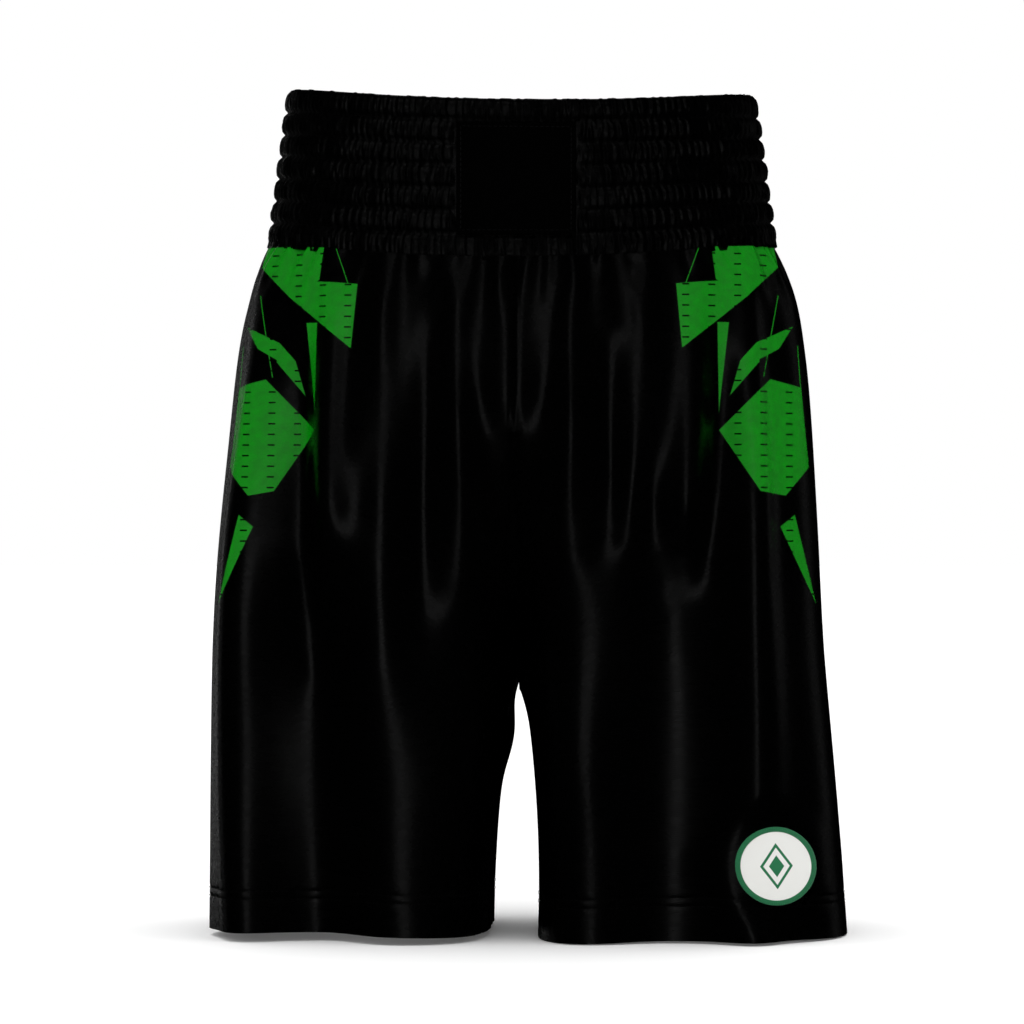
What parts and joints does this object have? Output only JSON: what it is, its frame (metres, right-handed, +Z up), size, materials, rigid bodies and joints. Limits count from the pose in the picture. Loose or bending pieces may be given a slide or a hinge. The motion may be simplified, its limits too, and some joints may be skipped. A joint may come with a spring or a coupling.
{
  "type": "boxing shorts",
  "caption": "Loose knee-length satin boxing shorts with a tall ruched elastic waistband, a smooth front panel and a round leg patch.",
  "frame": {"origin": "middle of the footprint at the level of the hems", "axes": "+X is the wearer's left, -Y is the front, +Z is up, from the hems to the waist"},
  "size_m": [0.432, 0.2418, 0.562],
  "materials": {
    "satin": "black polyester satin with a fine twill, soft sheen, green printed shapes by the side seams",
    "band_satin": "the same black satin, tightly gathered",
    "band_facing": "black woven facing, matt side out",
    "elastic": "black woven elastic, ribbed",
    "front_panel": "matt black woven panel",
    "interfacing": "off-white fusible stiffener",
    "care_label": "blank white woven label",
    "patch": "embroidered twill patch, green rim and white field",
    "thread": "black polyester sewing thread"
  },
  "bodies": {
    "root": {"front_panel_left": "satin", "front_panel_right": "satin", "back_panel_left": "satin", "back_panel_right": "satin", "waistband_outer": "band_satin", "waistband_facing": "band_facing", "elastic_band_1": "elastic", "elastic_band_2": "elastic", "elastic_band_3": "elastic", "elastic_band_4": "elastic", "elastic_band_5": "elastic", "elastic_band_6": "elastic", "elastic_band_7": "elastic", "front_label_panel": "front_panel", "label_panel_interfacing": "interfacing", "care_label": "care_label", "badge_patch": "patch"}
  },
  "joints": []
}
